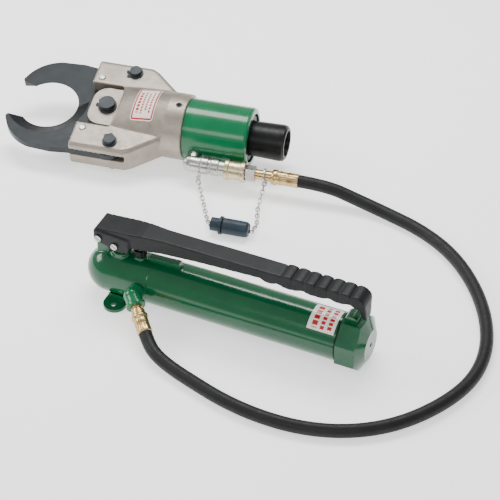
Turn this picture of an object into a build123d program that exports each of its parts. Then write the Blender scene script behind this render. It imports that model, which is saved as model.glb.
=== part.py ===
"""Hydraulic cable cutter head, joined by its hose to a hand pump. Millimetres, +Z up.

Origin: centre of the pump foot's two screw holes, on the floor. +X runs along the pump towards
its end cap, +Y towards the cutter head. The cutter is built in its own frame (a rearward along
the ram, b across, c up, zero at the centre pin) and then laid on the floor beside the pump.
"""
import math
import os

from build123d import *

os.makedirs("parts", exist_ok=True)

# ---------------------------------------------------------------- driving dimensions
RUN_GAP = 0.05          # radial gap of running fits

# pump
PUMP_Z = 35.0           # pump axis above the floor
TUBE_R = 31.75
TUBE_WALL = 2.5
SEAM_X = 45.0           # joint between head casting and reservoir tube
TUBE_END = 303.0
CAP_END = 340.5
DOME_X = -49.5
FOOT_HOLE_Y = 35.0
FOOT_HOLE_R = 3.5
FULCRUM = (-26.0, 94.0)     # x, z of the handle's fulcrum pin
FULCRUM_PIN_R = 3.9
PLUNGER_PIN_R = 3.6
PLUNGER_X = -3.0
PLUNGER_PIN_Z = 88.0
HANDLE_HALF = 13.0
NECK_HALF = 16.8
CLEVIS_HALF = 19.0
CLEVIS_GAP = 9.0
PORT_X = 33.0

# cutter
CUTTER_AT = (-167.0, 276.5, 46.0)
CUTTER_YAW = 9.4
CUTTER_ROLL = 13.0
PIVOT_A = 23.0
PIVOT_B = 63.5
PIVOT_R = 8.0
CENTRE_PIN_R = 11.2
BORE_A = -88.0
BORE_R = 41.5
BLADE_T = 10.0
ARM_HALF = 80.0
ARM_C = 21.0
SLOT_C = 10.6
COLLAR_R = 46.0
COLLAR_END = 117.0
CYL_R = 42.0
CYL_BORE = 34.0
CYL_FRONT = 90.0
CYL_END = 208.0
PISTON_R = CYL_BORE - RUN_GAP
PISTON_A = 134.0
COUPLE_B = -57.0        # quick coupling line beside the cylinder
COUPLE_C = -5.0

# hose
HOSE_R = 8.75
HOSE_BORE_R = 4.8


# ---------------------------------------------------------------- helpers
def turned(points):
    """Solid turned about the X axis from (x, radius) points."""
    return revolve(make_face(Polyline(*points, close=True)), Axis.X)


def ring_x(x0, x1, outer, inner):
    return turned([(x0, inner), (x1, inner), (x1, outer), (x0, outer)])


def upright(radius, bottom, top, x=0.0, y=0.0):
    shape = Cylinder(radius, top - bottom, align=(Align.CENTER, Align.CENTER, Align.MIN))
    return Pos(x, y, bottom) * shape


def upright_ring(outer, inner, bottom, top, x=0.0, y=0.0):
    return upright(outer, bottom, top, x, y) - upright(inner, bottom - 1, top + 1, x, y)


def across(radius, y0, y1, x, z):
    """Cylinder along Y."""
    shape = Cylinder(radius, y1 - y0, align=(Align.CENTER, Align.CENTER, Align.MIN))
    return Pos(x, y0, z) * Rot(-90, 0, 0) * shape


def block(x0, x1, y0, y1, z0, z1):
    return Pos((x0 + x1) / 2, (y0 + y1) / 2, (z0 + z1) / 2) * Box(x1 - x0, y1 - y0, z1 - z0)


def flat_plate(points, z0, z1):
    return Pos(0, 0, z0) * extrude(make_face(Polyline(*points, close=True)), z1 - z0)


def profile_xz(lines, half):
    """Side outline in X and Z, extruded to +-half across Y."""
    face = Plane.XZ * make_face(lines)
    return extrude(face, half, both=True)


def hexagon_x(x0, x1, across_flats, sides=6, turn=0.0):
    face = RegularPolygon(across_flats / 2, sides, major_radius=False, rotation=turn)
    return Pos(x0, 0, 0) * Rot(0, 90, 0) * extrude(face, x1 - x0)


def mirrored(shape):
    return mirror(shape, Plane.XZ)


def retaining_ring(shaft_r, bottom, top, x, y, lug_angle):
    """External circlip: a band with two lugs beside its gap."""
    band = upright_ring(shaft_r + 2.2, shaft_r, bottom, top)
    band -= block(0, shaft_r + 6, -1.6, 1.6, bottom - 1, top + 1)
    for side in (-1, 1):
        lug = upright(2.3, bottom, top, shaft_r + 2.6, side * 3.9)
        lug -= upright(0.8, bottom - 1, top + 1, shaft_r + 2.9, side * 3.9)
        band += lug - upright(shaft_r, bottom - 1, top + 1)
    return Pos(x, y, 0) * Rot(0, 0, lug_angle) * band


def link_row(points):
    """Chain of flat oval links along a list of points, turned a quarter each time."""
    links = []
    for number, (start, end) in enumerate(zip(points, points[1:])):
        start, end = Vector(*start), Vector(*end)
        run = end - start
        middle = (start + end) * 0.5
        length = run.length + 2 * LINK_WIRE - 0.15
        oval = SlotOverall(length, LINK_WIDTH) - SlotOverall(length - 2 * LINK_WIRE,
                                                            LINK_WIDTH - 2 * LINK_WIRE)
        link = extrude(oval, LINK_WIRE / 2, both=True)
        side = Vector(0, 0, 1).cross(run)
        normal = side if number % 2 else run.cross(side)
        links.append(Plane(origin=middle, x_dir=run, z_dir=normal) * link)
    return links


parts = {}
cutter = Location(CUTTER_AT, (0, 0, CUTTER_YAW)) * Location((0, 0, 0), (CUTTER_ROLL, 0, 0))


def add(name, shape):
    parts[name] = shape


def add_cutter(name, shape):
    parts[name] = cutter * shape


# ---------------------------------------------------------------- cutter head casting
def head_frame():
    half = ARM_HALF
    plan = [(-33, 37), (-33, half), (44, half), (54, 75), (88, 46), (88, -46), (54, -75),
            (44, -half), (-33, -half), (-33, -37), (24, -37), (24, 37)]
    arms = flat_plate(plan, -ARM_C, ARM_C)
    outer = [e for e in arms.edges().filter_by(Plane.XY)
             if abs(e.center().Y) > 55 and e.center().X > -30]
    arms = fillet(outer, 7)
    front = Plane(origin=(10, 0, 0), x_dir=(0, 1, 0), z_dir=(1, 0, 0))
    back = Plane(origin=(92, 0, 0), x_dir=(0, 1, 0), z_dir=(1, 0, 0))
    housing = loft([front * Ellipse(47, 31.5), back * Circle(COLLAR_R)])
    # the front lip of the housing is a shallow arc around the centre pin
    housing -= upright(100, -60, 60, x=-80)
    body = arms + housing + ring_x(92, COLLAR_END, COLLAR_R, 30)
    # each arm's slot is as deep as its one blade; then room for clevis, pin and ram
    body -= block(-40, 46, 36, 100, -SLOT_C, 0.6) + block(40, 66, 36, 52, -SLOT_C, 0.6)
    body -= block(-40, 46, -100, -36, -0.6, SLOT_C) + block(40, 66, -52, -36, -0.6, SLOT_C)
    body -= block(-40, 75, -36.5, 36.5, -17.6, 17.6)
    body -= block(-40, 46, -17.5, 17.5, -27.6, 27.6)
    body -= ring_x(70, 90.5, 18, 0) + ring_x(CYL_FRONT, 130, 40, 0)
    for side in (-1, 1):
        body -= upright(PIVOT_R + RUN_GAP, -40, 40, PIVOT_A, side * PIVOT_B)
        body -= upright(3.45, -40, 40, -21.6, side * 47)
    body -= upright(3.6, 35, 60, 106, 0)
    return body


# ---------------------------------------------------------------- blades
def blade(bottom, bevel_up):
    """Far side blade: pivots on the far arm pin, driven by the centre pin."""
    tip_in = (BORE_A - 29.0, math.sqrt(BORE_R ** 2 - 29.0 ** 2))
    bore_top = (BORE_A + BORE_R * math.cos(math.radians(65)),
                BORE_R * math.sin(math.radians(65)))
    root = (BORE_A + math.sqrt(BORE_R ** 2 - 9), -3)
    outline = [
        Line(tip_in, (-135.5, 35)),
        ThreePointArc((-135.5, 35), (-138, 38.5), (-136.5, 43)),
        ThreePointArc((-136.5, 43), (-119.5, 67.5), (-92, 80.5)),
        Line((-92, 80.5), (-60, 82.3)),
        Line((-60, 82.3), (-36, 79.3)),
        Line((-36, 79.3), (12, 79.3)),
        ThreePointArc((12, 79.3), (33, 75), (39, 58)),
        Line((39, 58), (21.5, -3)),
        ThreePointArc((21.5, -3), (3, -21.5), (-18, -12.5)),
        Line((-18, -12.5), root),
        ThreePointArc(root, bore_top, tip_in),
    ]
    body = Pos(0, 0, bottom) * extrude(make_face(outline), BLADE_T)
    if bevel_up:
        bevel = Cone(BORE_R + 0.8, BORE_R + 17, BLADE_T - 1, align=(Align.CENTER, Align.CENTER,
                                                                    Align.MIN))
        body -= Pos(BORE_A, 0, bottom + 1) * bevel
    else:
        bevel = Cone(BORE_R + 17, BORE_R + 0.8, BLADE_T - 1, align=(Align.CENTER, Align.CENTER,
                                                                    Align.MIN))
        body -= Pos(BORE_A, 0, bottom) * bevel
    body -= upright(PIVOT_R + RUN_GAP, -30, 30, PIVOT_A, PIVOT_B)
    # drive slot towards the pivot, because the centre pin runs straight
    towards = math.degrees(math.atan2(PIVOT_B, PIVOT_A))
    reach = math.hypot(PIVOT_A, PIVOT_B) - PIVOT_B
    slot = extrude(SlotCenterToCenter(reach + 1.0, 2 * (CENTRE_PIN_R + 0.6)), 30, both=True)
    body -= Rot(0, 0, towards) * Pos(reach / 2, 0, 0) * slot
    return body


upper = blade(-BLADE_T - 0.15, False)
lower = mirrored(blade(0.15, True))
add_cutter("head_frame", head_frame())
add_cutter("far_blade", upper)
add_cutter("near_blade", lower)


# ---------------------------------------------------------------- ram and what it drives
def ram_clevis():
    cheek = fillet(block(-24, 44, -33, 33, 10.9, 17.1).edges().filter_by(Axis.Z)
                   .group_by(Axis.X)[0], 20)
    body = cheek + mirror(cheek, Plane.XY) + block(32, 44, -26, 26, -17.1, 17.1)
    body += ring_x(43, 60, 15, 0)
    body -= upright(CENTRE_PIN_R, -40, 40)
    body -= ring_x(50, 61, 9, 0)
    return body


add_cutter("ram_clevis", ram_clevis())
add_cutter("centre_pin", upright(CENTRE_PIN_R, -26.5, 26.5))
add_cutter("centre_pin_rings", Compound([retaining_ring(CENTRE_PIN_R, 17.3, 19.3, 0, 0, 165),
                                         retaining_ring(CENTRE_PIN_R, -19.3, -17.3, 0, 0, 165)]))
for label, side in (("far", 1), ("near", -1)):
    lug_turn = 200 if side > 0 else 115
    add_cutter(f"{label}_pivot_pin", upright(PIVOT_R, -28.5, 28.5, PIVOT_A, side * PIVOT_B))
    add_cutter(f"{label}_pivot_rings",
               Compound([retaining_ring(PIVOT_R, low, low + 1.8, PIVOT_A, side * PIVOT_B, lug_turn)
                         for low in (21.2, -23.0)]))
buttons = []
for side in (-1, 1):
    # the blade side of the arm is the thin one
    thin = sorted((-side * (SLOT_C + 0.2), -side * 21.6))
    thick = sorted((side * 0.8, side * 21.6))
    for low, high in (thin, thick):
        buttons.append(upright(3.45, low, high, -21.6, side * 47))
add_cutter("guide_buttons", Compound(buttons))
add_cutter("collar_set_screw", upright(3.6, 40.2, 42.4, 106, 0) - upright(1.5, 41.2, 46, 106, 0))

add_cutter("ram_rod", ring_x(50, PISTON_A + 26, 9, 0) + ring_x(60, PISTON_A, 14.5, 0))
# the piston's narrow front leaves the oil port open
add_cutter("ram_piston", turned([(PISTON_A, 9), (PISTON_A + 19, 9), (PISTON_A + 19, PISTON_R),
                                 (PISTON_A + 15.5, PISTON_R), (PISTON_A + 15.5, 31),
                                 (PISTON_A + 10.5, 31), (PISTON_A + 10.5, PISTON_R),
                                 (PISTON_A + 7, PISTON_R), (PISTON_A + 7, 28), (PISTON_A, 28)]))
add_cutter("piston_seal", ring_x(PISTON_A + 10.7, PISTON_A + 15.3, PISTON_R, 31))
add_cutter("piston_nut", hexagon_x(PISTON_A + 19, PISTON_A + 25, 26)
           - ring_x(PISTON_A + 18, PISTON_A + 26, 9, 0))

spring_path = Helix(pitch=13.5, height=37.0, radius=27.0)
spring_wire = Plane(origin=spring_path @ 0, z_dir=spring_path % 0) * Circle(1.9)
spring = sweep(spring_wire, path=spring_path)
add_cutter("return_spring", Pos(PISTON_A + 21.8, 0, 0) * Rot(0, 90, 0) * spring)


# ---------------------------------------------------------------- cylinder
def ram_cylinder():
    body = turned([(CYL_FRONT, CYL_BORE), (CYL_END, CYL_BORE), (CYL_END, CYL_R - 4),
                   (CYL_END - 1.2, CYL_R - 1.2), (CYL_END - 4, CYL_R), (COLLAR_END, CYL_R),
                   (COLLAR_END, 40), (CYL_FRONT, 40)])
    body -= across(6.5, COUPLE_B, -20, 136, COUPLE_C)
    return body


add_cutter("ram_cylinder", ram_cylinder())
add_cutter("rod_gland", ring_x(CYL_FRONT + 0.5, 106, CYL_BORE, 14.5 + RUN_GAP))
add_cutter("rear_gland_ring", turned([(196, 21), (203, 21), (203, 24), (206, 25.2), (206, 31),
                                      (203, CYL_BORE), (196, CYL_BORE)]))
add_cutter("rubber_rear_sleeve", turned([(206, 13), (206, 24.2), (249, 25.5), (254, 24.5),
                                         (256.5, 21.5), (256.5, 18), (250, 17), (214, 17),
                                         (214, 13)]))
add_cutter("tail_spigot", ring_x(190, 214, 12.9, 0) + ring_x(203, 206, 21, 12)
           + ring_x(192, 196, 24.5, 12) + ring_x(196, 203, 21, 12))


def head_label():
    """Thin plate bent to the housing's top."""
    front = Plane(origin=(10, 0, 0), x_dir=(0, 1, 0), z_dir=(1, 0, 0))
    back = Plane(origin=(92, 0, 0), x_dir=(0, 1, 0), z_dir=(1, 0, 0))
    skin = loft([front * Ellipse(47.5, 32.0), back * Circle(COLLAR_R + 0.5)])
    core = loft([front * Ellipse(47.05, 31.55), back * Circle(COLLAR_R + 0.05)])
    patch = Pos(58, 1, 40) * fillet(Box(33, 58, 40).edges().filter_by(Axis.Z), 4)
    return (skin & patch) - core


add_cutter("head_label", head_label())


# ---------------------------------------------------------------- quick coupling beside the cylinder
def on_line(shape):
    return Pos(0, COUPLE_B, COUPLE_C) * shape


def port_elbow():
    body = turned([(125.2, 0), (125.2, 5.5), (127, 8.8), (130.5, 10.8), (136, 11.4), (142, 11.0),
                   (147, 10.5), (147, 0)])
    body += across(9.9, 0, -COUPLE_B - CYL_R - 0.3, 136, 0)
    body += across(6.45, 10, 20.5, 136, 0)
    body -= across(3.3, 0, 30, 136, 0)
    body -= ring_x(134, 150, 2.7, 0)
    return body


add_cutter("port_elbow", on_line(port_elbow()))
tab = ring_x(147, 149.5, 11.5, 4)
tab += Pos(148.25, -17, -1) * Rot(0, 90, 0) * extrude(SlotOverall(16, 7), 1.25, both=True)
tab -= Pos(148.25, -21.5, -1) * Rot(0, 90, 0) * Cylinder(1.8, 10)
add_cutter("chain_tab", on_line(Rot(40, 0, 0) * tab))
add_cutter("coupler_body", on_line(turned([(149.5, 3.5), (186, 3.5), (186, 10.5), (176, 10.5),
                                           (174.5, 12), (165, 12), (163.5, 11), (161, 11),
                                           (160, 12.4), (151, 12.4), (149.5, 11)])))
add_cutter("coupler_sleeve", on_line(turned([(184, 10.55), (213, 10.55), (213, 13.5), (212, 14.8),
                                             (207.5, 14.8), (206.5, 12.8), (190.5, 12.8),
                                             (189.5, 14.8), (185, 14.8), (184, 13.5)])))
add_cutter("coupler_nipple", on_line(ring_x(187, 209, 10.0, 3.5) + hexagon_x(214, 227, 19, turn=15)
                                     + ring_x(208, 215, 8.5, 3.5) - ring_x(210, 230, 3.5, 0)))
add_cutter("hose_nipple_cutter", on_line(ring_x(227, 238, 6.8, 3.2) + ring_x(242, 250, 7.2, 3.2)
                                         + ring_x(237, 243, 6.0, 3.2)))
chain_ring = turned([(238.2, 6.9), (240.6, 6.9), (240.6, 9.6), (238.2, 9.6)])
chain_ring += Pos(239.4, 0, -12.5) * Rot(0, 90, 0) * extrude(Circle(3.6) - Circle(2.2), 1.1,
                                                             both=True)
add_cutter("chain_ring", on_line(chain_ring))
ferrule_profile = [(250, 3.3), (287, 3.3), (287, 9.3), (258, 9.3), (256.5, 10.6), (252.5, 10.9),
                   (250, 9.0)]
add_cutter("hose_ferrule_cutter", on_line(turned(ferrule_profile)))


# ---------------------------------------------------------------- hose
HOSE_START = cutter * Location((287, COUPLE_B, COUPLE_C))
FERRULE_DIR = Vector(0.655, -0.694, -0.30).normalized()
ELBOW_AT = Vector(PORT_X, -43, 37)
HOSE_END = ELBOW_AT + FERRULE_DIR * 57
HOSE_LEAVES = cutter * Location((327, COUPLE_B, COUPLE_C))
ROUTE = [tuple(HOSE_START.position), tuple(HOSE_LEAVES.position), (207, 280, 16), (249, 278, 9.2),
         (305, 264, 9.2), (358, 237, 9.2), (405, 193, 9.2), (443, 138, 9.2), (466, 80, 9.2),
         (470, 21, 9.2), (451, -36, 9.2), (414, -91, 9.2), (366, -127, 9.2), (312, -145, 9.2),
         (257, -148, 9.2), (205, -141, 9.2), (159, -125, 9.2), (119.5, -111, 9.6),
         (94.6, -103, 12.6), tuple(HOSE_END + FERRULE_DIR * 15), tuple(HOSE_END)]


def hose_path(points):
    """Straight runs joined by arcs, each as large as its two runs allow."""
    corners = [Vector(*p) for p in points]
    radii = []
    for before, here, after in zip(corners, corners[1:], corners[2:]):
        run_in, run_out = here - before, after - here
        half_turn = math.radians(run_in.get_angle(run_out)) / 2
        radii.append(0.45 * min(run_in.length, run_out.length) / math.tan(half_turn))
    print("hose arc radii", [round(r) for r in radii])
    return FilletPolyline(*corners, radius=radii)


path = hose_path(ROUTE)
section = Plane(origin=path @ 0, z_dir=path % 0) * (Circle(HOSE_R) - Circle(HOSE_BORE_R))
hose = sweep(section, path=path)
expected = math.pi * (HOSE_R ** 2 - HOSE_BORE_R ** 2) * path.length
print("hose length", round(path.length, 1), "volume ratio", round(hose.volume / expected, 4))
add("hose", hose)


# ---------------------------------------------------------------- pump outlet fittings
outlet = Plane(origin=ELBOW_AT, z_dir=FERRULE_DIR)


def on_outlet(profile):
    """Turned about the outlet direction from (distance, radius) points."""
    face = Plane.XZ * make_face(Polyline(*[(r, d) for d, r in profile], close=True))
    return outlet * revolve(face, Axis.Z)


elbow = across(10.8, -45, -TUBE_R + 0.5, PORT_X, ELBOW_AT.Z)
elbow += Pos(*ELBOW_AT) * Sphere(11.6)
elbow += on_outlet([(0, 0), (0, 11.2), (11, 11.2), (12.5, 12.6), (16, 12.6), (17, 11.5), (17, 0)])
elbow -= Pos(0, 0, PUMP_Z) * ring_x(-60, 100, TUBE_R + 0.02, 0)
elbow += across(6.9, -TUBE_R - 1, -18, PORT_X, ELBOW_AT.Z)
elbow -= across(3.0, ELBOW_AT.Y, -10, PORT_X, ELBOW_AT.Z)
elbow -= on_outlet([(0, 0), (0, 3.0), (18, 3.0), (18, 0)])
add("outlet_elbow", elbow)
add("hose_nipple_pump", on_outlet([(17, 3.2), (17, 7.6), (20, 7.6), (20.5, 6.4), (24, 6.4),
                                   (24, 8.8), (30, 8.8), (30, 3.2)]))
add("hose_ferrule_pump", on_outlet([(30, 3.3), (30, 9.4), (31.5, 10.8), (35, 10.8), (37, 9.3),
                                    (57, 9.3), (57, 3.3)]))


# ---------------------------------------------------------------- pump head and its working parts
def pump_head():
    outline = [Line((DOME_X, 0), (DOME_X, 7)),
               ThreePointArc((DOME_X, 7), (-38.5, 24), (-18, TUBE_R)),
               Line((-18, TUBE_R), (SEAM_X, TUBE_R)),
               Line((SEAM_X, TUBE_R), (SEAM_X, TUBE_R - TUBE_WALL)),
               Line((SEAM_X, TUBE_R - TUBE_WALL), (SEAM_X + 12, TUBE_R - TUBE_WALL)),
               Line((SEAM_X + 12, TUBE_R - TUBE_WALL), (SEAM_X + 12, 0)),
               Line((SEAM_X + 12, 0), (DOME_X, 0))]
    body = Pos(0, 0, PUMP_Z) * revolve(make_face(outline), Axis.X)
    # upright web that carries the handle's fulcrum
    eye = FULCRUM[1]
    web = profile_xz([Line((-35, 45), (-35, eye)), ThreePointArc((-35, eye), (-26, eye + 8), (-17, eye)),
                      Line((-17, eye), (-17, 45)), Line((-17, 45), (-35, 45))], CLEVIS_GAP - 1.2)
    body += web
    body += upright(13.5, 40, 71, PLUNGER_X, 0)
    body += upright(8, 50, 69, 24, 0)
    body -= across(FULCRUM_PIN_R + RUN_GAP, -20, 20, *FULCRUM)
    body -= upright(8 + RUN_GAP, 20, 80, PLUNGER_X, 0)
    body -= upright(10.4, 63, 66, PLUNGER_X, 0)
    body -= upright(4.2, 40, 75, 24, 0)
    body -= across(6.95, -40, -17.5, PORT_X, ELBOW_AT.Z)
    body -= across(2.5, -18, 4, PORT_X, ELBOW_AT.Z)
    body -= turned([(-12, 0), (-12, 4), (50, 4), (50, 0)]).moved(Location((0, 0, 22)))
    return body


add("pump_head", pump_head())


def pump_foot():
    ears = SlotOverall(92, 30, rotation=90)
    body = extrude(ears, 4.5)
    for side in (-1, 1):
        rib = Plane.YZ * make_face(Polyline((side * 12, 2), (side * 27, 2), (side * 26, 13),
                                            (side * 12, 8), close=True))
        body += extrude(rib, 11, both=True)
        body -= upright(FOOT_HOLE_R, -1, 10, 0, side * FOOT_HOLE_Y)
    body -= Pos(0, 0, PUMP_Z) * ring_x(-60, 60, TUBE_R, 0)
    return body


add("pump_foot", pump_foot())
gland_nut = Pos(PLUNGER_X, 0, 71) * extrude(RegularPolygon(10.5, 6, major_radius=False), 6)
add("plunger_gland", gland_nut - upright(8 + RUN_GAP, 70, 90, PLUNGER_X, 0))


def plunger():
    body = upright(8, 40, 80.5, PLUNGER_X, 0)
    eye = block(PLUNGER_X - 11, PLUNGER_X + 8.5, -7.5, 7.5, 80.5, 96)
    eye = fillet(eye.edges().filter_by(Axis.Y).group_by(Axis.Z)[-1], 5)
    body += eye
    slot = extrude(SlotCenterToCenter(4.4, 2 * (PLUNGER_PIN_R + 0.8)), 20, both=True)
    body -= Pos(PLUNGER_X - 1.0, 0, PLUNGER_PIN_Z) * Rot(90, 0, 0) * slot
    return body


add("pump_plunger", plunger())
add("plunger_seal", upright_ring(10.4, 8 + RUN_GAP, 63, 66, PLUNGER_X, 0))
add("inlet_check_ball", Pos(PLUNGER_X, 0, 27) * Sphere(4.5))
inlet_path = Helix(pitch=3.0, height=6.5, radius=4.0)
inlet_wire = Plane(origin=inlet_path @ 0, z_dir=inlet_path % 0) * Circle(0.5)
add("inlet_check_spring", Pos(PLUNGER_X, 0, 32.2) * sweep(inlet_wire, path=inlet_path))


def pin_with_slots(radius, x, z):
    """Clevis pin with a slotted screw head each side."""
    body = across(radius, -CLEVIS_HALF, CLEVIS_HALF, x, z)
    for side in (-1, 1):
        low, high = sorted((side * CLEVIS_HALF, side * (CLEVIS_HALF + 2.4)))
        head = across(radius + 0.9, low, high, x, z)
        slot_low, slot_high = sorted((side * (CLEVIS_HALF + 1.3), side * (CLEVIS_HALF + 4)))
        notch = block(-radius * 1.4, radius * 1.4, slot_low, slot_high, -0.7, 0.7)
        body += head - Pos(x, 0, z) * Rot(0, 35, 0) * notch
    return body


add("fulcrum_pin", pin_with_slots(FULCRUM_PIN_R, *FULCRUM))
add("plunger_pin", pin_with_slots(PLUNGER_PIN_R, PLUNGER_X, PLUNGER_PIN_Z))
add("release_valve_stem", upright(4.15, 42, 80, 24, 0))
knob = upright(8.5, 71, 79, 24, 0) - upright(4.15, 60, 90, 24, 0)
for number in range(8):
    turn = math.radians(45 * number)
    knob -= upright(1.6, 60, 90, 24 + 9.3 * math.cos(turn), 9.3 * math.sin(turn))
knob += upright_ring(7.0, 4.15, 69.6, 71, 24, 0)
add("release_knob", knob)


# ---------------------------------------------------------------- pump handle
GRIP_START = 223.0
GRIP_PITCH = 15.5
GRIP_COUNT = 6
GROOVE_TOP = 114.2
grooves = [GRIP_START + GRIP_PITCH * number for number in range(GRIP_COUNT + 1)]


def pump_handle():
    side_view = [
        Line((-33, 92), (-33, 103)),
        ThreePointArc((-33, 103), (-31.5, 106.5), (-28, 107.5)),
        Line((-28, 107.5), (34, 113)),
        Line((34, 113), (GRIP_START, GROOVE_TOP)),
    ]
    for start, end in zip(grooves, grooves[1:]):
        side_view.append(ThreePointArc((start, GROOVE_TOP), ((start + end) / 2, GROOVE_TOP + 2),
                                       (end, GROOVE_TOP)))
    side_view += [
        ThreePointArc((grooves[-1], GROOVE_TOP), (330.5, 112.5), (335.5, 103)),
        Line((335.5, 103), (336.5, 79)),
        Line((336.5, 79), (331, 79)),
        Line((331, 79), (329, 88)),
        ThreePointArc((329, 88), (323, 97), (311, 100.5)),
        ThreePointArc((311, 100.5), (300, 98.3), (289, 101.2)),
        ThreePointArc((289, 101.2), (270, 97.6), (252, 100.6)),
        ThreePointArc((252, 100.6), (235, 96.6), (218, 100.2)),
        ThreePointArc((218, 100.2), (208, 97.0), (196, 101.0)),
        Line((196, 101.0), (110, 96.5)),
        Line((110, 96.5), (34, 90)),
        Line((34, 90), (18, 89)),
        Line((18, 89), (15, 80.5)),
        Line((15, 80.5), (-6, 78.5)),
        ThreePointArc((-6, 78.5), (-11, 80), (-15, 84)),
        Line((-15, 84), (-26, 86)),
        ThreePointArc((-26, 86), (-31.5, 88), (-33, 92)),
    ]
    body = profile_xz(side_view, CLEVIS_HALF)
    # plan view: cheeks that stand proud, then a beam that narrows to the grip
    plan = [(-40, -CLEVIS_HALF), (16, -CLEVIS_HALF), (18.5, -NECK_HALF), (62, -HANDLE_HALF),
            (345, -HANDLE_HALF), (345, HANDLE_HALF), (62, HANDLE_HALF), (18.5, NECK_HALF),
            (16, CLEVIS_HALF), (-40, CLEVIS_HALF)]
    body &= flat_plate(plan, 60, 130)
    above = profile_xz([Line((-45, 107), (-24, 105.5)), Line((-24, 105.5), (20, 102)),
                        Line((20, 102), (20, 130)), Line((20, 130), (-45, 130)),
                        Line((-45, 130), (-45, 107))], 30)
    body -= above - block(-50, 30, -NECK_HALF, NECK_HALF, 60, 140)
    # the hook at the end narrows downwards
    hook = Plane.YZ * make_face(Polyline((-5.5, 70), (5.5, 70), (HANDLE_HALF, 106), (HANDLE_HALF, 130),
                                         (-HANDLE_HALF, 130), (-HANDLE_HALF, 106), close=True))
    body -= block(324, 350, -20, 20, 60, 130) - extrude(hook, 400)
    body -= block(-45, 26, -CLEVIS_GAP, CLEVIS_GAP, 60, FULCRUM[1] + 9.2)
    body -= across(FULCRUM_PIN_R, -30, 30, *FULCRUM)
    body -= across(PLUNGER_PIN_R, -30, 30, PLUNGER_X, PLUNGER_PIN_Z)
    return body


handle = pump_handle()
for groove_x in grooves:
    groove = block(groove_x - 0.9, groove_x + 0.9, -20, 20, 92, 130)
    core = block(groove_x - 2, groove_x + 2, -HANDLE_HALF + 0.9, HANDLE_HALF - 0.9, 60, GROOVE_TOP - 1)
    handle -= groove - core
add("pump_handle", handle)

# ---------------------------------------------------------------- reservoir and end cap
add("reservoir_tube", Pos(0, 0, PUMP_Z) * ring_x(SEAM_X, TUBE_END, TUBE_R, TUBE_R - TUBE_WALL))
rest = profile_xz([Line((38, 60), (38, 73)), Line((38, 73), (80, 76)), Line((80, 76), (84, 60)),
                   Line((84, 60), (38, 60))], 4.5)
add("handle_rest_rib", rest - Pos(0, 0, PUMP_Z) * ring_x(0, 150, TUBE_R, 0))
bladder = turned([(60, 24), (62, 27), (281, 27), (286, 22), (286, 0), (284.5, 0), (284.5, 21),
                  (280, 25.5), (63, 25.5), (61.5, 24)])
add("oil_bladder", Pos(0, 0, PUMP_Z) * bladder)
suction = ring_x(SEAM_X + 12, 262, 4.0, 2.6)
add("suction_tube", Pos(0, 0, 22) * suction)
add("suction_filter", Pos(0, 0, 22) * (ring_x(262, 280, 6.5, 4.0)))


def end_cap():
    prism = hexagon_x(TUBE_END + 3, CAP_END, 2 * PUMP_Z, sides=8, turn=22.5)
    cone = turned([(250, 90), (CAP_END - 11, 41), (CAP_END, 20.5), (CAP_END, 0), (250, 0)])
    body = Pos(0, 0, PUMP_Z) * (prism & cone)
    body += Pos(0, 0, PUMP_Z) * ring_x(TUBE_END - 14, TUBE_END + 3.5, TUBE_R - TUBE_WALL, 22)
    boss = profile_xz([Line((308, 60), (308, 74)), ThreePointArc((308, 74), (316, 79), (325, 74)),
                       Line((325, 74), (326, 60)), Line((326, 60), (308, 60))], 9)
    body += boss
    body -= Pos(0, 0, PUMP_Z) * ring_x(CAP_END - 6, CAP_END + 1, 3.0, 0)
    return body


add("end_cap", end_cap())
add("cap_gasket", Pos(0, 0, PUMP_Z) * ring_x(TUBE_END, TUBE_END + 3, TUBE_R - 0.8, TUBE_R - TUBE_WALL))
add("vent_screw", Pos(0, 0, PUMP_Z) * (ring_x(CAP_END - 6, CAP_END - 1.5, 3.0, 0)
                                       - hexagon_x(CAP_END - 4, CAP_END, 2.6)))
wrap = ring_x(264, 300, TUBE_R + 0.35, TUBE_R + 0.05)
wrap &= Rot(14, 0, 0) * block(264, 300, -18.7, 18.7, 15, 40)
add("reservoir_label", Pos(0, 0, PUMP_Z) * wrap)

# ---------------------------------------------------------------- dust plug, dust cap and chains
LINK_WIRE = 1.3
LINK_WIDTH = 5.6
DUST_AT = Location((48, 156, 12.6), (0, 0, 9))
CHAIN_PITCH = 6.3


def dust(shape):
    return DUST_AT * shape


def chain(corners):
    """Links at an even pitch along straight stretches between the corners."""
    points = []
    for start, end in zip(corners, corners[1:]):
        start, end = Vector(*start), Vector(*end)
        count = max(1, round((end - start).length / CHAIN_PITCH))
        points += [tuple(start + (end - start) * (n / count)) for n in range(count)]
    return Compound(link_row(points + [tuple(corners[-1])]))


add("dust_plug", dust(ring_x(0, 15, 9.2, 0) + ring_x(12, 15.5, 12.4, 0) + ring_x(15, 34, 6.6, 0)))
add("dust_cap", dust(turned([(15.8, 6.9), (36, 6.9), (36, 0), (52, 0), (52, 8.6), (49, 10.6),
                             (40, 10.9), (17.5, 10.9), (15.8, 10.2)])))

TAB_HOLE = (cutter * Location((148.25, COUPLE_B - 15.8, COUPLE_C - 14.6))).position
RING_HOLE = (cutter * Location((239.4, COUPLE_B, COUPLE_C - 12.5))).position
PLUG_EYE = (DUST_AT * Location((-3, 0, -4))).position
CAP_EYE = (DUST_AT * Location((55, 0, -4))).position
add("plug_chain", chain([tuple(TAB_HOLE), (12, 205, 4.5), (30, 178, 3.2), tuple(PLUG_EYE)]))
add("cap_chain", chain([tuple(RING_HOLE), (86, 222, 3.6), (99, 190, 3.2), tuple(CAP_EYE)]))
print("chain ends", [tuple(round(v, 1) for v in p) for p in (TAB_HOLE, RING_HOLE, PLUG_EYE, CAP_EYE)])

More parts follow.
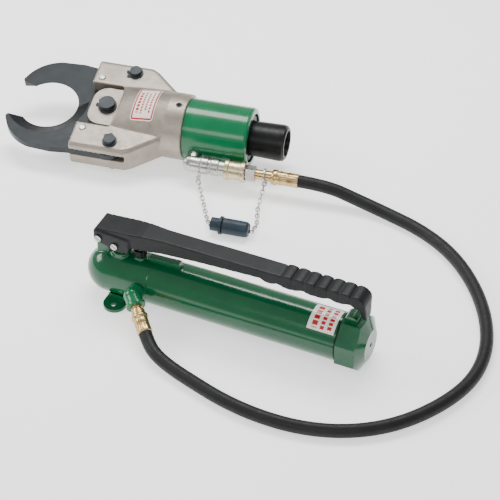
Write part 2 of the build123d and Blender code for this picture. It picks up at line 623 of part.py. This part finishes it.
for name, shape in parts.items():
    solids = shape.solids()
    shape = Compound(solids) if len(solids) > 1 else solids[0]
    export_step(shape, f"parts/{name}.step")
print(len(parts), "nodes")
for label, point in (("hose start", HOSE_START.position), ("hose end", HOSE_END)):
    print(label, tuple(round(v, 2) for v in point))
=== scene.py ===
import math

import bmesh
import bpy
from mathutils import Matrix, Vector


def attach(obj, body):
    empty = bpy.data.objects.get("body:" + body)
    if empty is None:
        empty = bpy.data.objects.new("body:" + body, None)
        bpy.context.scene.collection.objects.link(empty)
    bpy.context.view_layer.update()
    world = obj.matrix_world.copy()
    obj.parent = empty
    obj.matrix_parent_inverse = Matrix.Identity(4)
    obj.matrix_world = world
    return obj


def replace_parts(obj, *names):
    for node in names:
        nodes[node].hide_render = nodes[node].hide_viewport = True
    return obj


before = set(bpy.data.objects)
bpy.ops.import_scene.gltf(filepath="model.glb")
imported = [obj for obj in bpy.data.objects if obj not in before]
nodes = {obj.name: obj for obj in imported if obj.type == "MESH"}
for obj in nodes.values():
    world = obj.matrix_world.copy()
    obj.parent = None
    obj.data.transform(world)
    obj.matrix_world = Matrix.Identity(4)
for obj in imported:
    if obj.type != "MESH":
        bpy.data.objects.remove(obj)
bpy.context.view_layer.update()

# ---------------------------------------------------------------- camera
AIM = Vector((0.1116, 0.1413, 0.0))
AZIMUTH, ELEVATION, DISTANCE = math.radians(24.7), math.radians(40.0), 2.866
back = Vector((math.sin(AZIMUTH) * math.cos(ELEVATION),
               -math.cos(AZIMUTH) * math.cos(ELEVATION), math.sin(ELEVATION)))
camera = bpy.data.objects.new("camera", bpy.data.cameras.new("camera"))
camera.data.lens = 156.0
camera.data.sensor_width = 36.0
camera.location = AIM + back * DISTANCE
camera.rotation_mode = "QUATERNION"
camera.rotation_quaternion = (-back).to_track_quat("-Z", "Y")
bpy.context.scene.collection.objects.link(camera)
bpy.context.scene.camera = camera


# ---------------------------------------------------------------- material helpers
def socket_value(shader, **values):
    for name, value in values.items():
        shader.inputs[name.replace("_", " ")].default_value = value


class Surface:
    """A Principled material with a few chained procedural layers."""

    def __init__(self, name, metallic=0.0, **values):
        self.material = bpy.data.materials.new(name)
        self.material.use_nodes = True
        self.tree = self.material.node_tree
        self.shader = self.tree.nodes["Principled BSDF"]
        self.shader.inputs["Metallic"].default_value = metallic
        socket_value(self.shader, **values)
        self.coords = self.tree.nodes.new("ShaderNodeTexCoord").outputs["Object"]
        self.normal = None

    def link(self, a, b):
        self.tree.links.new(a, b)

    def mapped(self, location=(0, 0, 0), rotation=(0, 0, 0), scale=(1, 1, 1), kind="POINT"):
        node = self.tree.nodes.new("ShaderNodeMapping")
        node.vector_type = kind
        node.inputs["Location"].default_value = location
        node.inputs["Rotation"].default_value = rotation
        node.inputs["Scale"].default_value = scale
        self.link(self.coords, node.inputs["Vector"])
        return node.outputs["Vector"]

    def noise(self, scale, detail=4.0, rough=0.55, vector=None):
        node = self.tree.nodes.new("ShaderNodeTexNoise")
        node.inputs["Scale"].default_value = scale
        node.inputs["Detail"].default_value = detail
        node.inputs["Roughness"].default_value = rough
        self.link(vector or self.coords, node.inputs["Vector"])
        return node.outputs["Fac"]

    def ramp(self, value, stops):
        node = self.tree.nodes.new("ShaderNodeValToRGB")
        ramp = node.color_ramp
        while len(ramp.elements) < len(stops):
            ramp.elements.new(0.5)
        for element, (place, color) in zip(ramp.elements, stops):
            element.position = place
            element.color = (*color, 1.0)
        self.link(value, node.inputs["Fac"])
        return node.outputs["Color"]

    def spread(self, value, low, high, start=0.3, end=0.7):
        node = self.tree.nodes.new("ShaderNodeMapRange")
        for label, number in (("From Min", start), ("From Max", end),
                              ("To Min", low), ("To Max", high)):
            node.inputs[label].default_value = number
        self.link(value, node.inputs["Value"])
        return node.outputs["Result"]

    def math(self, operation, a, b=None):
        node = self.tree.nodes.new("ShaderNodeMath")
        node.operation = operation
        for place, value in enumerate((a, b)):
            if value is None:
                continue
            if isinstance(value, (int, float)):
                node.inputs[place].default_value = value
            else:
                self.link(value, node.inputs[place])
        return node.outputs[0]

    def mix(self, factor, a, b):
        node = self.tree.nodes.new("ShaderNodeMix")
        node.data_type = "RGBA"
        self.link(factor, node.inputs["Factor"])
        for label, value in (("A", a), ("B", b)):
            inputs = [i for i in node.inputs if i.name == label and i.type == "RGBA"]
            if isinstance(value, tuple):
                inputs[0].default_value = (*value, 1.0)
            else:
                self.link(value, inputs[0])
        return [o for o in node.outputs if o.type == "RGBA"][0]

    def color(self, value):
        self.link(value, self.shader.inputs["Base Color"])

    def roughness(self, value):
        self.link(value, self.shader.inputs["Roughness"])

    def soft_edges(self, radius):
        node = self.tree.nodes.new("ShaderNodeBevel")
        node.samples = 4
        node.inputs["Radius"].default_value = radius
        self.normal = node.outputs["Normal"]

    def edge_wear(self, radius, sharpness=0.985):
        """1 on worn outer edges, 0 on flats, from how far a bevel turns the normal."""
        bevel = self.tree.nodes.new("ShaderNodeBevel")
        bevel.samples = 4
        bevel.inputs["Radius"].default_value = radius
        flat = self.tree.nodes.new("ShaderNodeNewGeometry")
        dot = self.tree.nodes.new("ShaderNodeVectorMath")
        dot.operation = "DOT_PRODUCT"
        self.link(bevel.outputs["Normal"], dot.inputs[0])
        self.link(flat.outputs["Normal"], dot.inputs[1])
        edge = self.spread(dot.outputs["Value"], 1.0, 0.0, 0.80, sharpness)
        return self.math("MULTIPLY", edge, self.spread(self.noise(160.0), 0.0, 1.0, 0.42, 0.6))

    def bump(self, height, strength, distance=0.0003):
        node = self.tree.nodes.new("ShaderNodeBump")
        node.inputs["Strength"].default_value = strength
        node.inputs["Distance"].default_value = distance
        self.link(height, node.inputs["Height"])
        if self.normal is not None:
            self.link(self.normal, node.inputs["Normal"])
        self.normal = node.outputs["Normal"]

    def done(self):
        if self.normal is not None:
            self.link(self.normal, self.shader.inputs["Normal"])
        return self.material


def shades(base, spread):
    """The base colour a little darker and a little lighter."""
    return [tuple(c * (1 - spread) for c in base),
            tuple(min(1.0, c * (1 + spread)) for c in base)]


# ---------------------------------------------------------------- materials
def gloss_green(name, base, rough):
    s = Surface(name, Specular_IOR_Level=0.35, Coat_Weight=0.35, Coat_Roughness=0.08)
    low, high = shades(base, 0.14)
    s.color(s.ramp(s.noise(18.0, 5.0), [(0.3, low), (0.7, high)]))
    s.roughness(s.spread(s.noise(90.0, 6.0), *rough))
    s.soft_edges(0.0008)
    s.bump(s.noise(60.0, 3.0), 0.06, 0.0004)
    return s.done()


def cast_aluminium():
    s = Surface("champagne_casting", metallic=0.72, Specular_IOR_Level=0.35)
    low, high = shades((0.33, 0.29, 0.245), 0.16)
    cast = s.ramp(s.noise(26.0, 8.0, 0.6), [(0.32, low), (0.68, high)])
    speck = s.spread(s.noise(900.0, 2.0), 0.0, 0.35, 0.62, 0.72)
    dirt = s.mix(speck, cast, (0.14, 0.12, 0.10))
    s.color(s.mix(s.math("MULTIPLY", s.edge_wear(0.0012), 0.4), dirt, (0.55, 0.51, 0.45)))
    s.roughness(s.spread(s.noise(140.0, 6.0), 0.34, 0.50))
    s.soft_edges(0.0010)
    s.bump(s.noise(650.0, 4.0), 0.32, 0.0002)
    s.bump(s.noise(45.0, 3.0), 0.12, 0.0008)
    return s.done()


def blade_steel():
    s = Surface("blade_steel", metallic=0.35, Specular_IOR_Level=0.3)
    low, high = shades((0.024, 0.028, 0.031), 0.22)
    grain = s.noise(60.0, 8.0, 0.65)
    s.color(s.ramp(grain, [(0.3, low), (0.72, high)]))
    streak = s.noise(1.0, 4.0, 0.6, s.mapped(scale=(60, 1500, 60), rotation=(0, 0, -0.16)))
    s.roughness(s.spread(s.noise(120.0, 5.0), 0.34, 0.52))
    s.soft_edges(0.0004)
    s.bump(streak, 0.16, 0.00015)
    return s.done()


def bevel_steel():
    s = Surface("ground_bevel_steel", metallic=0.3, Specular_IOR_Level=0.3)
    low, high = shades((0.006, 0.008, 0.009), 0.3)
    s.color(s.ramp(s.noise(80.0, 6.0), [(0.3, low), (0.7, high)]))
    s.roughness(s.spread(s.noise(200.0, 5.0), 0.26, 0.42))
    s.bump(s.noise(700.0, 3.0), 0.15, 0.0001)
    return s.done()


def dark_pin():
    s = Surface("blackened_pin_steel", metallic=0.3, Specular_IOR_Level=0.3)
    low, high = shades((0.036, 0.042, 0.048), 0.2)
    s.color(s.mix(s.math("MULTIPLY", s.edge_wear(0.0006), 0.5),
                  s.ramp(s.noise(90.0, 6.0), [(0.3, low), (0.7, high)]), (0.12, 0.13, 0.14)))
    s.roughness(s.spread(s.noise(180.0), 0.32, 0.5))
    s.soft_edges(0.0005)
    s.bump(s.noise(800.0), 0.15, 0.0001)
    return s.done()


def bright_metal(name, base, rough=(0.18, 0.34), grime=(0.2, 0.19, 0.17)):
    s = Surface(name, metallic=1.0)
    low, high = shades(base, 0.12)
    plate = s.ramp(s.noise(70.0, 6.0), [(0.3, low), (0.7, high)])
    s.color(s.mix(s.spread(s.noise(240.0, 6.0, 0.7), 0.0, 0.5, 0.56, 0.72), plate, grime))
    s.roughness(s.spread(s.noise(150.0, 5.0), *rough))
    s.soft_edges(0.0005)
    s.bump(s.noise(900.0, 3.0), 0.12, 0.0001)
    return s.done()


def black_cast():
    s = Surface("satin_black_casting", Specular_IOR_Level=0.22)
    low, high = shades((0.009, 0.010, 0.011), 0.3)
    body = s.ramp(s.noise(40.0, 6.0), [(0.3, low), (0.7, high)])
    s.color(s.mix(s.math("MULTIPLY", s.edge_wear(0.0012), 0.35), body, (0.07, 0.075, 0.08)))
    s.roughness(s.spread(s.noise(200.0, 6.0), 0.36, 0.50))
    s.bump(s.noise(520.0, 4.0), 0.30, 0.0003)
    s.bump(s.noise(60.0, 3.0), 0.15, 0.0008)
    return s.done()


def soft_black(name, base, rough, bump_scale, bump_strength):
    s = Surface(name, Specular_IOR_Level=0.22)
    low, high = shades(base, 0.2)
    s.color(s.ramp(s.noise(50.0, 6.0), [(0.3, low), (0.7, high)]))
    s.roughness(s.spread(s.noise(160.0, 5.0), *rough))
    s.soft_edges(0.0006)
    s.bump(s.noise(bump_scale, 4.0), bump_strength, 0.0002)
    return s.done()


DASH_GAP = 0.28  # share of the pitch left white between dashes
NO_BORDER = (-0.2, -0.1)  # insets outside the film, so no frame line shows


def printed_label(name, place, turn, half_u, half_v, corner, bars, border):
    """White film with a red frame line and rows of plain dashes.

    u and v are metres on the label. A bar is (middle u, half height, half length, dash pitch), and
    the frame line runs between the two insets given as border.
    """
    s = Surface(name, Specular_IOR_Level=0.5, Coat_Weight=0.4, Coat_Roughness=0.15)
    axes = s.tree.nodes.new("ShaderNodeSeparateXYZ")
    s.link(s.mapped(location=place, rotation=turn, kind="TEXTURE"), axes.inputs[0])
    u, v = axes.outputs[0], axes.outputs[1]
    # distance in from the film's round-cornered edge
    past_u = s.math("SUBTRACT", s.math("ABSOLUTE", u), half_u - corner)
    past_v = s.math("SUBTRACT", s.math("ABSOLUTE", v), half_v - corner)
    out_u, out_v = s.math("MAXIMUM", past_u, 0.0), s.math("MAXIMUM", past_v, 0.0)
    outside = s.math("SQRT", s.math("ADD", s.math("MULTIPLY", out_u, out_u),
                                    s.math("MULTIPLY", out_v, out_v)))
    inside = s.math("MINIMUM", s.math("MAXIMUM", past_u, past_v), 0.0)
    inset = s.math("SUBTRACT", corner, s.math("ADD", outside, inside))
    film = s.ramp(s.noise(90.0, 4.0), [(0.3, (0.78, 0.73, 0.66)), (0.7, (0.86, 0.82, 0.76))])
    mark = s.math("MULTIPLY", s.math("GREATER_THAN", inset, border[0]),
                  s.math("LESS_THAN", inset, border[1]))
    for middle, height, reach, pitch in bars:
        row = s.math("LESS_THAN", s.math("ABSOLUTE", s.math("SUBTRACT", u, middle)), height)
        run = s.math("LESS_THAN", s.math("ABSOLUTE", v), reach)
        step = s.math("FRACT", s.math("MULTIPLY", v, 1.0 / pitch))
        dash = s.math("GREATER_THAN", step, DASH_GAP)
        mark = s.math("MAXIMUM", mark, s.math("MULTIPLY", s.math("MULTIPLY", row, run), dash))
    s.color(s.mix(mark, film, (0.42, 0.003, 0.003)))
    s.roughness(s.spread(s.noise(120.0), 0.28, 0.4))
    return s.done()


green = gloss_green("gloss_green_paint", (0.0, 0.135, 0.046), (0.16, 0.28))
pump_green = gloss_green("dark_green_paint", (0.0, 0.078, 0.026), (0.14, 0.26))
casting = cast_aluminium()
blade = blade_steel()
bevel = bevel_steel()
pin = dark_pin()
plated = bright_metal("zinc_plate", (0.50, 0.49, 0.46), (0.22, 0.4), (0.10, 0.09, 0.08))
ground = bright_metal("ground_steel", (0.55, 0.55, 0.53), (0.25, 0.4))
brass = bright_metal("brass", (0.56, 0.39, 0.18), (0.22, 0.38), (0.16, 0.10, 0.05))
yellow_zinc = bright_metal("yellow_zinc_plate", (0.62, 0.53, 0.34), (0.26, 0.42),
                           (0.24, 0.18, 0.09))
handle_black = black_cast()
rubber = soft_black("black_rubber", (0.006, 0.006, 0.007), (0.30, 0.45), 500.0, 0.15)
hose_cover = soft_black("hose_cover", (0.010, 0.010, 0.011), (0.42, 0.58), 1400.0, 0.35)
knob_black = soft_black("black_moulding", (0.010, 0.011, 0.012), (0.34, 0.46), 700.0, 0.15)
dust_grey = soft_black("blue_grey_moulding", (0.024, 0.038, 0.052), (0.36, 0.5), 500.0, 0.2)
seal_black = soft_black("seal_rubber", (0.02, 0.02, 0.02), (0.5, 0.6), 400.0, 0.2)

FINISHES = {
    green: ("ram_cylinder", "outlet_elbow"),
    pump_green: ("pump_head", "pump_foot", "plunger_gland", "reservoir_tube", "handle_rest_rib",
                 "end_cap"),
    casting: ("head_frame", "ram_clevis"),
    blade: ("far_blade", "near_blade"),
    pin: ("centre_pin", "centre_pin_rings", "far_pivot_pin", "near_pivot_pin", "far_pivot_rings",
          "near_pivot_rings", "collar_set_screw", "vent_screw"),
    plated: ("port_elbow", "chain_tab", "coupler_body", "coupler_nipple", "chain_ring",
             "plug_chain", "cap_chain", "fulcrum_pin", "plunger_pin"),
    ground: ("guide_buttons", "ram_rod", "ram_piston", "piston_nut", "rod_gland", "tail_spigot",
             "return_spring", "pump_plunger", "inlet_check_ball", "inlet_check_spring",
             "release_valve_stem", "suction_tube", "suction_filter"),
    yellow_zinc: ("coupler_sleeve",),
    brass: ("hose_nipple_cutter", "hose_nipple_pump", "hose_ferrule_cutter", "hose_ferrule_pump"),
    handle_black: ("pump_handle",),
    rubber: ("rubber_rear_sleeve", "cap_gasket", "rear_gland_ring"),
    knob_black: ("release_knob",),
    dust_grey: ("dust_plug", "dust_cap"),
    seal_black: ("piston_seal", "plunger_seal", "oil_bladder"),
    hose_cover: ("hose",),
}


def paint(mesh, material):
    mesh.materials.clear()
    mesh.materials.append(material)


for finish, names in FINISHES.items():
    for name in names:
        paint(nodes[name].data, finish)

# the cutter's own frame: rearward along the ram, across, up from the blades
CUTTER_AT = Vector((-0.167, 0.2765, 0.046))
CUTTER_YAW, CUTTER_ROLL = math.radians(9.4), math.radians(13.0)
cutter = (Matrix.Translation(CUTTER_AT) @ Matrix.Rotation(CUTTER_YAW, 4, "Z")
          @ Matrix.Rotation(CUTTER_ROLL, 4, "X"))

head_label = printed_label(
    "head_label_print", tuple(cutter @ Vector((0.058, 0.001, 0))), (CUTTER_ROLL, 0, CUTTER_YAW),
    0.0165, 0.029, 0.004,
    [(-0.0088, 0.0020, 0.019, 0.0058), (-0.0028, 0.0013, 0.020, 0.0046),
     (0.0030, 0.0013, 0.016, 0.0040), (0.0088, 0.0013, 0.019, 0.0050)],
    (0.0010, 0.0032))
paint(nodes["head_label"].data, head_label)
reservoir_label = printed_label(
    "reservoir_label_print", (0.282, 0.0, 0.035), (math.radians(14), 0, 0), 0.018, 0.0187, 0.003,
    [(-0.0092, 0.0036, 0.0165, 0.0078), (0.0012, 0.0026, 0.0165, 0.0062),
     (0.0108, 0.0028, 0.0165, 0.0056)],
    NO_BORDER)
paint(nodes["reservoir_label"].data, reservoir_label)


# ---------------------------------------------------------------- piece helpers
def piece(name, mesh, material, body):
    obj = bpy.data.objects.new(name, mesh)
    bpy.context.scene.collection.objects.link(obj)
    paint(mesh, material)
    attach(obj, body)
    return obj


def smooth(mesh):
    for polygon in mesh.polygons:
        polygon.use_smooth = True


def softened(node, name, voxel, rounds, material, body):
    """A cast version of a CAD node: the same shape with its sharp edges rounded off."""
    source = nodes[node]
    rough = bpy.data.objects.new(name + "_rough", source.data.copy())
    bpy.context.scene.collection.objects.link(rough)
    rough.matrix_world = source.matrix_world
    remesh = rough.modifiers.new("remesh", "REMESH")
    remesh.mode = "VOXEL"
    remesh.voxel_size = voxel
    relax = rough.modifiers.new("relax", "SMOOTH")
    relax.factor = 0.5
    relax.iterations = rounds
    graph = bpy.context.evaluated_depsgraph_get()
    mesh = bpy.data.meshes.new_from_object(rough.evaluated_get(graph))
    mesh.transform(rough.matrix_world)
    bpy.data.objects.remove(rough)
    smooth(mesh)
    obj = piece(name, mesh, material, body)
    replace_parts(obj, node)


def loops_mesh(name, rings, closed=False):
    """A skin through rings of points; the ends are capped unless the rings join up."""
    bm = bmesh.new()
    rows = [[bm.verts.new(p) for p in ring] for ring in rings]
    pairs = list(zip(rows, rows[1:])) + ([(rows[-1], rows[0])] if closed else [])
    for one, two in pairs:
        for k in range(len(one)):
            after = (k + 1) % len(one)
            bm.faces.new((one[k], one[after], two[after], two[k]))
    if not closed:
        bm.faces.new(rows[0][::-1])
        bm.faces.new(rows[-1])
    bmesh.ops.recalc_face_normals(bm, faces=bm.faces)
    mesh = bpy.data.meshes.new(name)
    bm.to_mesh(mesh)
    bm.free()
    smooth(mesh)
    return mesh


# ---------------------------------------------------------------- hose and its crimped ferrules
HOSE_DIAMETER, HOSE_LENGTH = 0.0175, 0.9928
FERRULE_LENGTHS = {"hose_ferrule_cutter": 0.037, "hose_ferrule_pump": 0.027}
FERRULE_DIR = Vector((0.655, -0.694, -0.30)).normalized()
ELBOW_AT, ELBOW_TO_HOSE = Vector((0.033, -0.043, 0.037)), 0.057
HOSE_START = cutter @ Vector((0.287, -0.057, -0.005))
HOSE_LEAVES = cutter @ Vector((0.327, -0.057, -0.005))
HOSE_END = ELBOW_AT + FERRULE_DIR * ELBOW_TO_HOSE
ROUTE = [HOSE_START, HOSE_LEAVES, (0.207, 0.280, 0.016), (0.249, 0.278, 0.0092),
         (0.305, 0.264, 0.0092), (0.358, 0.237, 0.0092), (0.405, 0.193, 0.0092),
         (0.443, 0.138, 0.0092),
         (0.466, 0.080, 0.0092), (0.470, 0.021, 0.0092), (0.451, -0.036, 0.0092),
         (0.414, -0.091, 0.0092), (0.366, -0.127, 0.0092), (0.312, -0.145, 0.0092),
         (0.257, -0.148, 0.0092), (0.205, -0.141, 0.0092), (0.159, -0.1275, 0.0092),
         (0.1200, -0.115, 0.0096), (0.0950, -0.1045, 0.0124),
         HOSE_END + FERRULE_DIR * 0.015, HOSE_END]


def make_hose():
    curve = bpy.data.curves.new("hydraulic_hose", "CURVE")
    curve.dimensions = "3D"
    curve.bevel_depth = HOSE_DIAMETER / 2
    curve.bevel_resolution = 8
    curve.resolution_u = 14
    curve.use_fill_caps = True
    spline = curve.splines.new("NURBS")
    spline.points.add(len(ROUTE) - 1)
    for point, place in zip(spline.points, ROUTE):
        point.co = (*place, 1.0)
    spline.order_u = 3
    spline.use_endpoint_u = True
    curve.materials.append(hose_cover)
    hose = bpy.data.objects.new("hydraulic_hose", curve)
    bpy.context.scene.collection.objects.link(hose)
    return hose


# (distance along, radius), scaled along to each ferrule's own length
FERRULE_PROFILE = [(0.0, 0.0090), (0.0008, 0.0104), (0.0040, 0.0108), (0.0056, 0.0098),
                   (0.0066, 0.0091), (0.0080, 0.0095), (0.0140, 0.0095), (0.0146, 0.0091),
                   (0.0154, 0.0091), (0.0160, 0.0095), (0.0235, 0.0096), (0.0255, 0.0098),
                   (0.0262, 0.0094)]
CRIMPS, CRIMP_DEPTH, CRIMPS_FROM = 10, 0.00028, 0.0075


def make_ferrule(name, mouth, along, node):
    """Swaged sleeve ending at its mouth: a collar, then a barrel with lengthwise crimp flats."""
    start = mouth - along * FERRULE_LENGTHS[node]
    side = along.orthogonal().normalized()
    other = along.cross(side)
    steps = CRIMPS * 8
    stretch = FERRULE_LENGTHS[node] / FERRULE_PROFILE[-1][0]
    rings = []
    for reach, radius in FERRULE_PROFILE:
        ring = []
        for k in range(steps):
            turn = 2 * math.pi * k / steps
            crimp = max(0.0, math.cos(CRIMPS * turn)) if reach > CRIMPS_FROM else 0.0
            out = side * math.cos(turn) + other * math.sin(turn)
            ring.append(start + along * reach * stretch + out * (radius - CRIMP_DEPTH * crimp))
        rings.append(ring)
    obj = piece(name, loops_mesh(name, rings), brass, "root")
    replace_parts(obj, node)
    return obj


cutter_axis = (cutter.to_3x3() @ Vector((1, 0, 0))).normalized()
ferrule_cutter = make_ferrule("crimped_ferrule_cutter", HOSE_START, cutter_axis,
                              "hose_ferrule_cutter")
ferrule_pump = make_ferrule("crimped_ferrule_pump", HOSE_END, FERRULE_DIR, "hose_ferrule_pump")
hose = make_hose()
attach(hose, "root")
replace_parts(hose, "hose")

# ---------------------------------------------------------------- castings with their edges rounded
softened("pump_handle", "cast_handle", 0.0008, 18, handle_black, "handle")
softened("head_frame", "cast_head_frame", 0.0011, 8, casting, "root")
softened("pump_head", "cast_pump_head", 0.0009, 7, pump_green, "root")

# ---------------------------------------------------------------- chains of welded round-wire links
LINK_WIRE, LINK_WIDTH, CHAIN_PITCH = 0.0016, 0.0064, 0.0072
LINK_STEPS, WIRE_STEPS = 20, 8
DUST_AT = Matrix.Translation((0.048, 0.156, 0.0126)) @ Matrix.Rotation(math.radians(9), 4, "Z")
TAB_HOLE = cutter @ Vector((0.14825, -0.0728, -0.0196))
RING_HOLE = cutter @ Vector((0.2394, -0.057, -0.0175))
PLUG_EYE = DUST_AT @ Vector((-0.003, 0, -0.004))
CAP_EYE = DUST_AT @ Vector((0.055, 0, -0.004))


def link_rings(start, end, number):
    run = end - start
    along = run.normalized()
    flat = Vector((0, 0, 1)).cross(along).normalized()
    upright = along.cross(flat)
    across, over = (flat, upright) if number % 2 == 0 else (upright, flat)
    middle = (start + end) / 2
    radius = (LINK_WIDTH - LINK_WIRE) / 2
    half = (run.length + LINK_WIRE) / 2 - radius
    rings = []
    for k in range(LINK_STEPS):
        turn = 2 * math.pi * k / LINK_STEPS
        centre = middle + along * (math.copysign(half, math.cos(turn)) + radius * math.cos(turn))
        centre += across * radius * math.sin(turn)
        out = along * math.cos(turn) + across * math.sin(turn)
        rings.append([centre + (out * math.cos(t) + over * math.sin(t)) * LINK_WIRE / 2
                      for t in (2 * math.pi * j / WIRE_STEPS for j in range(WIRE_STEPS))])
    return rings


def make_chain(name, corners, node):
    points = []
    for start, end in zip(corners, corners[1:]):
        start, end = Vector(start), Vector(end)
        count = max(1, round((end - start).length / CHAIN_PITCH))
        points += [start.lerp(end, k / count) for k in range(count)]
    points.append(Vector(corners[-1]))
    bm = bmesh.new()
    for number, (start, end) in enumerate(zip(points, points[1:])):
        bm.from_mesh(loops_mesh("link", link_rings(start, end, number), closed=True))
    mesh = bpy.data.meshes.new(name)
    bm.to_mesh(mesh)
    bm.free()
    smooth(mesh)
    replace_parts(piece(name, mesh, plated, "root"), node)


make_chain("plug_chain_links",
           [TAB_HOLE, (0.012, 0.205, 0.0045), (0.030, 0.178, 0.0032), PLUG_EYE], "plug_chain")
make_chain("cap_chain_links",
           [RING_HOLE, (0.086, 0.222, 0.0036), (0.099, 0.190, 0.0032), CAP_EYE], "cap_chain")

# ---------------------------------------------------------------- blades' dark ground bevel
BORE_AT = Vector((-0.088, 0, 0))
BORE_R, BEVEL_WIDTH = 0.0415, 0.0172
BEVEL_TILT = (0.15, 0.9)  # upright share of a bevel face's normal
to_cutter = cutter.inverted()
for name in ("far_blade", "near_blade"):
    mesh = nodes[name].data
    mesh.materials.append(bevel)
    for polygon in mesh.polygons:
        centre = to_cutter @ polygon.center
        normal = to_cutter.to_3x3() @ polygon.normal
        reach = math.hypot(centre.x - BORE_AT.x, centre.y)
        if BEVEL_TILT[0] < abs(normal.z) < BEVEL_TILT[1] and reach < BORE_R + BEVEL_WIDTH:
            polygon.material_index = 1


# ---------------------------------------------------------------- floor and light
FLOOR_HALF, FLOOR_DROP, FLOOR_GLOW = 6.0, 0.0002, 0.9
WORLD_STRENGTH = 0.55


def make_floor():
    bm = bmesh.new()
    bmesh.ops.create_grid(bm, x_segments=2, y_segments=2, size=FLOOR_HALF)
    mesh = bpy.data.meshes.new("floor")
    bm.to_mesh(mesh)
    bm.free()
    floor = bpy.data.objects.new("floor", mesh)
    floor.location.z = -FLOOR_DROP
    bpy.context.scene.collection.objects.link(floor)
    s = Surface("pale_floor", Specular_IOR_Level=0.1)
    s.color(s.ramp(s.noise(3.0, 2.0), [(0.3, (0.90,) * 3), (0.7, (0.92,) * 3)]))
    s.roughness(s.spread(s.noise(8.0), 0.75, 0.85))
    socket_value(s.shader, Emission_Color=(1, 1, 1, 1), Emission_Strength=FLOOR_GLOW)
    mesh.materials.append(s.done())


def area_light(name, place, aim, width, height, power):
    data = bpy.data.lights.new(name, "AREA")
    data.shape = "RECTANGLE"
    data.size, data.size_y = width, height
    data.energy = power
    light = bpy.data.objects.new(name, data)
    light.location = place
    light.rotation_mode = "QUATERNION"
    light.rotation_quaternion = (Vector(aim) - Vector(place)).to_track_quat("-Z", "Y")
    bpy.context.scene.collection.objects.link(light)


make_floor()
area_light("overhead_box", (-0.15, 0.75, 1.5), (0.1, 0.1, 0), 1.3, 0.55, 30)
area_light("left_box", (-1.5, -0.3, 1.0), (0.0, 0.1, 0), 0.9, 0.6, 18)
area_light("front_box", (0.5, -1.5, 1.2), (0.1, 0.1, 0), 1.6, 0.5, 12)
world = bpy.data.worlds.new("studio")
world.use_nodes = True
world.node_tree.nodes["Background"].inputs["Color"].default_value = (1, 1, 1, 1)
world.node_tree.nodes["Background"].inputs["Strength"].default_value = WORLD_STRENGTH
bpy.context.scene.world = world
